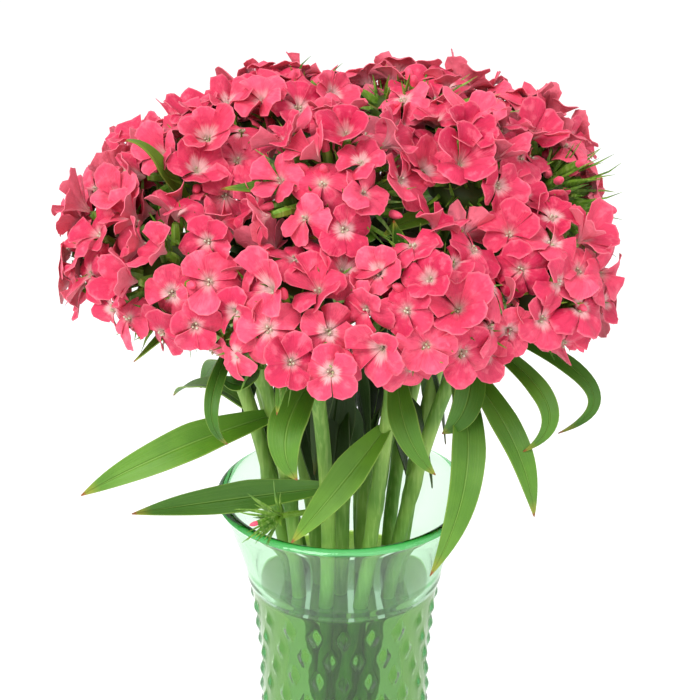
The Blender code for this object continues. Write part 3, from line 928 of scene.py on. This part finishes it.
def greens_of(head, draw):
    mesh = new_mesh()
    add_core(mesh, head, draw)
    for site in head.sites:
        add_calyx(mesh, head, site, draw)
    buds_among(mesh, head, draw)
    bracts_below(mesh, head, draw)
    for point, width, name, bracts in OPENINGS:
        if name == head.name:
            fill_opening(mesh, head, point, width, bracts, draw)
    piece(f"calyces_{head.name}", mesh, [CALYX, PETAL, LEAF], [])


for head in heads.values():
    greens_of(head, draw)
print("calyces, bracts and buds on", len(heads), "heads")

# %% [markdown]
# ## Throats
#
# Pale anthers show in the throat of an open floret. They are specks a millimetre across, so each is
# an icosphere of twenty faces.

# %% Throats
ANTHERS = 3
ANTHER_RADIUS = 0.5 * MM


def anthers_of(head, draw):
    mesh = new_mesh()
    for site in head.sites:
        for index in range(ANTHERS):
            turn = index * tau / ANTHERS + draw.uniform(-0.6, 0.6)
            local = around(turn, draw.uniform(0.6, 1.3) * MM) + UP * draw.uniform(-0.4, 0.9) * MM
            size = Matrix.Diagonal((1, 1, draw.uniform(1, 1.6), 1))
            bmesh.ops.create_icosphere(
                mesh,
                subdivisions=1,
                radius=ANTHER_RADIUS,
                matrix=site.face @ Matrix.Translation(local) @ size,
            )
    piece(f"anthers_{head.name}", mesh, [ANTHER], [])


for head in heads.values():
    anthers_of(head, draw)
print("anthers on", len(sites), "florets")

# %% [markdown]
# ## Leaves
#
# A leaf is a long grid laid along an arch. Each row is as wide as a lance-shaped outline says, its
# halves rise from the midrib, and the edge waves a little. It is given its thickness last, so both
# faces follow the same wave.

# %% Leaves
LEAF_COLUMNS = 8
LEAF_ROWS = 26
LEAF_THICKNESS = 0.5 * MM
LEAF_BASE = 0.3
LEAF_WIDEST = 0.4
KEEL = 0.4


def arch(root, middle, tip, steps):
    """Points on the parabola through three points."""
    control = middle * 2 - (root + tip) / 2
    shares = [step / steps for step in range(steps + 1)]
    return [root * (1 - t) ** 2 + control * 2 * t * (1 - t) + tip * t * t for t in shares]


def add_leaf(mesh, points, width, face, twist, shaded, draw):
    """A lance-shaped leaf on its centre line, folded along the midrib."""
    tones = mesh.verts.layers.float["tone"]
    last = len(points) - 1
    # A leaf in the shade takes the tone that the leaf finish paints as dark olive shade
    tone = PAINTED_SHADE_TONE if shaded else draw.random()
    phase = draw.uniform(0, tau)
    made = bmesh.ops.create_grid(mesh, x_segments=LEAF_COLUMNS, y_segments=last, size=1, calc_uvs=True)
    for vert in made["verts"]:
        step = round((vert.co.y + 1) / 2 * last)
        share = step / last
        side = vert.co.x
        way = (points[min(step + 1, last)] - points[max(step - 1, 0)]).normalized()
        across = way.cross(Matrix.Rotation(twist * share, 3, way) @ face).normalized()
        widening = LEAF_BASE + (1 - LEAF_BASE) * min(1, share / LEAF_WIDEST) ** 0.7
        half = width / 2 * widening * (1 - share**3) + 0.1 * MM
        wave = sin(share * 11 + phase) * 0.1 * abs(side) + sin(share * 5 + phase) * 0.12 * side
        rise = KEEL * abs(side) ** 1.3 * (1 - 0.4 * share) + wave
        vert.co = points[step] + across * side * half + across.cross(way) * rise * half
        vert[tones] = tone


# Stem, height of the root, point half way along, tip and width, all in mm, the way the face looks
FRONT_LEAVES = (
    ("left", 268, (-64, -46, 266), (-99, -52, 250), 15, (-0.1, -0.7, 0.7)),
    ("front_left", 240, (-46, -24, 233), (-83, -30, 230), 13, (0, -0.7, 0.7)),
    ("front_left", 292, (-21, -62, 281), (-17, -66, 264), 15, (-0.1, -1, 0.3)),
    ("left", 292, (-38, -42, 292), (-46, -45, 297), 9, (-0.2, -0.6, 0.8)),
    ("left", 306, (-48, -57, 292), (-43, -55, 273), 6, (0, -1, 0.2)),
    ("centre", 288, (-5, -17, 260), (-9, -20, 232), 18, (0, -1, 0.2)),
    ("front_right", 268, (-1, -43, 250), (-20, -51, 229), 14, (-0.4, -0.8, 0.5)),
    ("right", 286, (46, -54, 261), (33, -54, 216), 14, (0.2, -1, 0.2)),
    ("right", 290, (63, -48, 272), (72, -54, 242), 12, (0.4, -1, 0.3)),
    ("right", 302, (75, -50, 288), (67, -51, 268), 8, (0.3, -1, 0.2)),
    ("far_right", 300, (92, -26, 286), (82, -32, 266), 7, (0.4, -1, 0.2)),
    ("front_right", 296, (23, -58, 281), (34, -62, 264), 11, (0, -1, 0.3)),
    ("right", 298, (46, -43, 285), (37, -42, 271), 13, (0.2, -1, 0.4)),
)
# Leaves among the florets: their stem, their root, the point half way along, their tip and width
FLOWER_LEAVES = (
    ("upper_left", (-58, -12, 352), (-69, -30, 377), (-76, -46, 388), 7),
    ("upper_left", (-40, -8, 352), (-28, -24, 362), (-44, -34, 366), 9),
    ("centre", (-3, -30, 345), (-14, -38, 357), (-30, -40, 361), 10),
    ("centre", (4, -32, 345), (6, -44, 352), (-12, -52, 354), 9),
    ("upper_right", (38, -16, 348), (26, -34, 354), (14, -46, 352), 8),
)
# Stems deep in the bunch: their inner, nest and front leaves are painted dark olive as shade
SHADED_STEMS = ("centre", "upper_left", "upper_right", "crown_left", "crown_right")
INNER_LEAF = ((296, 52), (270, 44))
INNER_WIDTH = 12
NEST_LEAVES = 7
NEST_HEIGHT = 322 * MM
NEST_REACH = 37 * MM
NEST_WIDTH = 15
BACK_LEAVES = ("far_left", "back_left", "back", "back_low", "back_right", "far_right")
BACK_PAIR = ((284, 78), (262, 62))
BACK_WIDTH = 13
BACK_LEAN = 60 * MM
BACK_SPREAD = 0.2
UPPER_LEAVES = 4
SHORT_ROWS = 12


# Each kind yields its leaves one by one: stem, centre line, width in mm, face, twist, in painted shade
def front_leaves(draw):
    for owner, height, middle, tip, width, face in FRONT_LEAVES:
        root = heads[owner].at_height(height * MM)
        points = arch(root, Vector(middle) * MM, Vector(tip) * MM, LEAF_ROWS)
        look = Vector(face).normalized()
        yield owner, points, width, look, draw.uniform(-0.3, 0.3), owner in SHADED_STEMS


def flower_leaves():
    for owner, root, middle, tip, width in FLOWER_LEAVES:
        points = arch(*[Vector(point) * MM for point in (root, middle, tip)], LEAF_ROWS)
        yield owner, points, width, Vector((0, -0.7, 0.7)), 0.3, False


def inner_leaves(draw):
    """Pairs of leaves that hang down inside the neck of the bunch, painted dark olive as its shade."""
    for owner in SHADED_STEMS:
        for height, length in INNER_LEAF:
            start = draw.uniform(0, tau)
            for turn in (start, start + pi):
                root = heads[owner].at_height(height * MM)
                middle = root + around(turn, 9 * MM) - UP * length * 0.4 * MM
                tip = root + around(turn, 15 * MM) - UP * length * MM
                yield owner, arch(root, middle, tip, LEAF_ROWS), INNER_WIDTH, around(turn), 0.2, True


def nest_leaves(draw):
    """Leaves that spread out below the heads and close the gaps between them with painted shade."""
    for owner in SHADED_STEMS:
        root = heads[owner].at_height(NEST_HEIGHT)
        for index in range(NEST_LEAVES):
            turn = index * tau / NEST_LEAVES + draw.uniform(-0.3, 0.3)
            middle = root + around(turn, NEST_REACH / 2) + UP * draw.uniform(4, 14) * MM
            points = arch(root, middle, root + around(turn, NEST_REACH), SHORT_ROWS)
            yield owner, points, NEST_WIDTH, UP, draw.uniform(-0.3, 0.3), True


def back_leaves(draw):
    for owner in BACK_LEAVES:
        for height, length in BACK_PAIR:
            root = heads[owner].at_height(height * MM)
            heading = atan2(max(root.y, BACK_LEAN), root.x * BACK_SPREAD) + draw.uniform(-0.6, 0.6)
            out = around(heading, length * MM)
            tip = root + out * 0.9 - UP * length * MM * draw.uniform(0.2, 0.45)
            look = (UP + out.normalized() * 0.4).normalized()
            points = arch(root, root + out / 2, tip, LEAF_ROWS)
            yield owner, points, BACK_WIDTH, look, draw.uniform(-0.5, 0.5), False


def upper_leaves(draw):
    """Short narrow leaves just under each head, which show in the gaps between the heads."""
    for owner, head in heads.items():
        root = head.seat - head.axis * (SEAT_DEPTH + 5 * MM)
        for index in range(UPPER_LEAVES):
            turn = index * tau / UPPER_LEAVES + draw.uniform(-0.4, 0.4)
            out = head.frame.to_3x3() @ around(turn)
            length = draw.uniform(30, 44) * MM
            middle = root + out * length * 0.42 + head.axis * length * 0.2
            tip = root + out * length * 0.78 + head.axis * length * draw.uniform(0.1, 0.45)
            look = (head.axis - out * 0.5).normalized()
            yield owner, arch(root, middle, tip, SHORT_ROWS), draw.uniform(5, 8), look, 0.0, False


leaf_meshes = {name: new_mesh() for name in heads}
leaf_draw = Random(21)
leaves = chain(
    front_leaves(leaf_draw),
    flower_leaves(),
    inner_leaves(leaf_draw),
    nest_leaves(leaf_draw),
    back_leaves(leaf_draw),
    upper_leaves(leaf_draw),
)
for owner, points, width, face, twist, shaded in leaves:
    add_leaf(leaf_meshes[owner], points, width * MM, face, twist, shaded, leaf_draw)
for name, mesh in leaf_meshes.items():
    thicken(mesh, LEAF_THICKNESS)
    piece(f"leaves_{name}", mesh, [LEAF], [])
print("leaves on", len(leaf_meshes), "stems")

# %% [markdown]
# ## Stems
#
# A stem is a tube of rings along its curve. It swells at each joint over a few millimetres and
# widens into the seat of the head.

# %% Stems
STEM_RADIUS = 2.9 * MM
STEM_SIDES = 12
JOINTS = (232 * MM, 286 * MM)
JOINT_SWELL = 0.35
JOINT_SPREAD = 3.5 * MM
SEAT_RADIUS = 6.0 * MM
STRAIGHT_STEPS = 6


def stem_of(head):
    mesh = new_mesh()
    foot, hold, *curve = head.path()
    straight = [foot.lerp(hold, step / STRAIGHT_STEPS) for step in range(STRAIGHT_STEPS)]
    points = [*straight, hold, *curve]
    radii = []
    for point in points:
        swell = sum(exp(-(((point.z - joint) / JOINT_SPREAD) ** 2)) for joint in JOINTS)
        radii.append(STEM_RADIUS * (1 + JOINT_SWELL * swell))
    radii[-1] = SEAT_RADIUS
    add_tube(mesh, points, radii, STEM_SIDES, 0.5)
    piece(f"stalk_{head.name}", mesh, [STEM], [f"stem_{head.name}"])


for head in heads.values():
    stem_of(head)
print(len(heads), "stems")

# %% [markdown]
# ## The side shoot
#
# One stem sends out a short shoot that leans over the rim at the front left. It ends in a fan of
# needle-like bracts round a small pink bud, so it is made with the same bract and bud as the heads.

# %% The side shoot
SHOOT_ROOT = 230
SHOOT_TIP = (-24, -44, 237)
SHOOT_FAN = (-0.8, -0.3, 0.15)
SHOOT_SPREAD = 0.75
SHOOT_BUD = (-33, -48, 236)
SHOOT_BUD_SIZE = 0.6
SHOOT_BRACTS = 24
SHOOT_RADIUS = 1.2 * MM


def side_shoot(draw):
    mesh = new_mesh()
    root = heads["front_left"].at_height(SHOOT_ROOT * MM)
    tip = Vector(SHOOT_TIP) * MM
    add_tube(mesh, [root, root.lerp(tip, 0.5), tip], [SHOOT_RADIUS] * 3, 7, 0.6)
    for _ in range(SHOOT_BRACTS):
        way = (Vector(SHOOT_FAN) + scatter(draw, 1) * SHOOT_SPREAD).normalized()
        add_bract(mesh, tip, way, draw.uniform(9, 19) * MM, draw)
    add_bud(mesh, tip, Vector(SHOOT_BUD) * MM, draw, SHOOT_BUD_SIZE)
    piece("side_shoot", mesh, [CALYX, PETAL], [])


side_shoot(Random(4))
print("side shoot with", SHOOT_BRACTS, "bracts")

# %% [markdown]
# ## The vase
#
# A pressed vase is a turned shape with a pattern in its outer face only. The profile is spun in
# many steps, and then each point of the outer wall is pushed out by its place in a net of diamonds:
# every diamond is a small soft boss with smooth glass round it, and rows are staggered by half a
# diamond. A fine ridge round the vase ends the relief, and the collar above it is smooth.

# %% The vase
RIM_HEIGHT = 225 * MM
RIM_RADIUS = 52 * MM
LIP_WIDTH = 5.2 * MM
WAIST_HEIGHT = 140 * MM
WAIST_RADIUS = 34.4 * MM
FLARE_POWER = 2.05
BASE_SWELL = 4 * MM
BASE_SWELL_DEPTH = 100 * MM
FOOT_RADIUS = 39.2 * MM
FOOT_EDGE = 2.5 * MM
WALL = 3.8 * MM
FLOOR_HEIGHT = 13 * MM
FLOOR_CORNER = 5 * MM
RELIEF_TOP = 187 * MM
RELIEF_ROWS = 15
RELIEF_ROW = 11.2 * MM
RELIEF_FOOT = RELIEF_TOP - RELIEF_ROWS * RELIEF_ROW
BOSSES = 20
BOSS_HEIGHT = 1.5 * MM
BOSS_WIDE = 0.32
BOSS_TALL = 0.27
RIDGE_HEIGHT = 188 * MM
RIDGE_REACH = 1.6 * MM
RIDGE = 0.5 * MM
SPIN_STEPS = 240
RING_STEP = 1.4 * MM
SMOOTH_STEP = 5 * MM


def vase_radius(height):
    """The outside of the vase, without its relief."""
    if height > WAIST_HEIGHT:
        share = (height - WAIST_HEIGHT) / (RIM_HEIGHT - WAIST_HEIGHT)
        return WAIST_RADIUS + (RIM_RADIUS - WAIST_RADIUS) * share**FLARE_POWER
    share = min(1, (WAIST_HEIGHT - height) / BASE_SWELL_DEPTH)
    return WAIST_RADIUS + BASE_SWELL * (1 - cos(pi * share)) / 2


def inner_radius(height):
    return vase_radius(height) - WALL


def rising(low, high, step):
    """Heights from low to high, about a step apart."""
    count = round((high - low) / step)
    return [low + (high - low) * index / count for index in range(count + 1)]


def arc(middle, height, radius, start, end, steps):
    """Points of a profile on an arc, without its first. Its ends are in degrees from level."""
    turns = [radians(start + (end - start) * step / steps) for step in range(1, steps + 1)]
    return [(middle + radius * cos(turn), height + radius * sin(turn)) for turn in turns]


def vase_profile():
    bead = LIP_WIDTH / 2
    corner = inner_radius(FLOOR_HEIGHT) - FLOOR_CORNER
    outer = rising(RELIEF_FOOT, RIM_HEIGHT - bead, RING_STEP)
    inner = rising(FLOOR_HEIGHT + FLOOR_CORNER, RIM_HEIGHT - 3 * bead, SMOOTH_STEP)
    return [
        (0, 0),
        (FOOT_RADIUS - FOOT_EDGE, 0),
        *arc(FOOT_RADIUS - FOOT_EDGE, FOOT_EDGE, FOOT_EDGE, -90, 0, 3),
        *[(vase_radius(height), height) for height in outer],
        *arc(RIM_RADIUS - bead, RIM_HEIGHT - bead, bead, 0, 180, 10),
        *[(inner_radius(height), height) for height in reversed(inner)],
        *arc(corner, FLOOR_HEIGHT + FLOOR_CORNER, FLOOR_CORNER, 0, -90, 3),
        (0, FLOOR_HEIGHT),
    ]


def boss(turn, height):
    """How far the wall stands out at a turn and height, in shares of a boss."""
    across = turn / tau * BOSSES
    down = (RELIEF_TOP - RELIEF_ROW - height) / (2 * RELIEF_ROW)
    best = 0.0
    for shift in (0.0, 0.5):
        row = round(down - shift) + shift
        if row < 0 or row > RELIEF_ROWS / 2 - 1:
            continue
        column = round(across - shift) + shift
        share = 1 - abs(across - column) / BOSS_WIDE - abs(down - row) / BOSS_TALL
        best = max(best, share)
    return best * best * (3 - 2 * best)


def turned(profile, steps):
    """A closed body spun round the Z axis from a profile that starts and ends on it."""
    mesh = new_mesh()
    points = [mesh.verts.new((radius, 0, height)) for radius, height in profile]
    edges = [mesh.edges.new(pair) for pair in zip(points, points[1:])]
    bmesh.ops.spin(
        mesh, geom=points + edges, axis=UP, cent=(0, 0, 0), steps=steps, angle=tau, use_merge=True
    )
    bmesh.ops.remove_doubles(mesh, verts=mesh.verts, dist=1e-6)
    bmesh.ops.recalc_face_normals(mesh, faces=mesh.faces)
    return mesh


def vase():
    mesh = turned(vase_profile(), SPIN_STEPS)
    for vert in mesh.verts:
        radius = vert.co.xy.length
        height = vert.co.z
        if RELIEF_FOOT < height < RIM_HEIGHT - LIP_WIDTH and radius > vase_radius(height) - WALL / 2:
            push = boss(atan2(vert.co.y, vert.co.x), height) * BOSS_HEIGHT
            push += RIDGE * exp(-(((height - RIDGE_HEIGHT) / RIDGE_REACH) ** 2))
            vert.co.xy *= 1 + push / radius
    return piece("vase_glass", mesh, [GLASS], ["vase"], crease=75)


glass = vase()
print("vase with", len(glass.data.polygons), "faces")

# %% [markdown]
# ## The water
#
# The water fills the vase to below the collar. Its edge creeps a little way up the glass, so the
# profile ends in a small curve. A film of air between water and glass would mirror the light at a
# slant, so the water reaches a little way into the glass.

# %% The water
WATER_LEVEL = 184 * MM
WATER_OVERLAP = 0.3 * MM
MENISCUS = 1.4 * MM
WATER_STEPS = 96


def water():
    corner = inner_radius(FLOOR_HEIGHT) - FLOOR_CORNER
    heights = rising(FLOOR_HEIGHT + FLOOR_CORNER, WATER_LEVEL + MENISCUS, SMOOTH_STEP)
    side = [(inner_radius(height) + WATER_OVERLAP, height) for height in heights]
    edge = side[-1][0] - MENISCUS
    profile = [
        (0, FLOOR_HEIGHT - WATER_OVERLAP),
        (corner, FLOOR_HEIGHT - WATER_OVERLAP),
        *side,
        *arc(edge, WATER_LEVEL + MENISCUS, MENISCUS, 0, -90, 4),
        (0, WATER_LEVEL),
    ]
    piece("water_fill", turned(profile, WATER_STEPS), [WATER], ["water"])


water()
print("water to", round(WATER_LEVEL / MM), "mm")
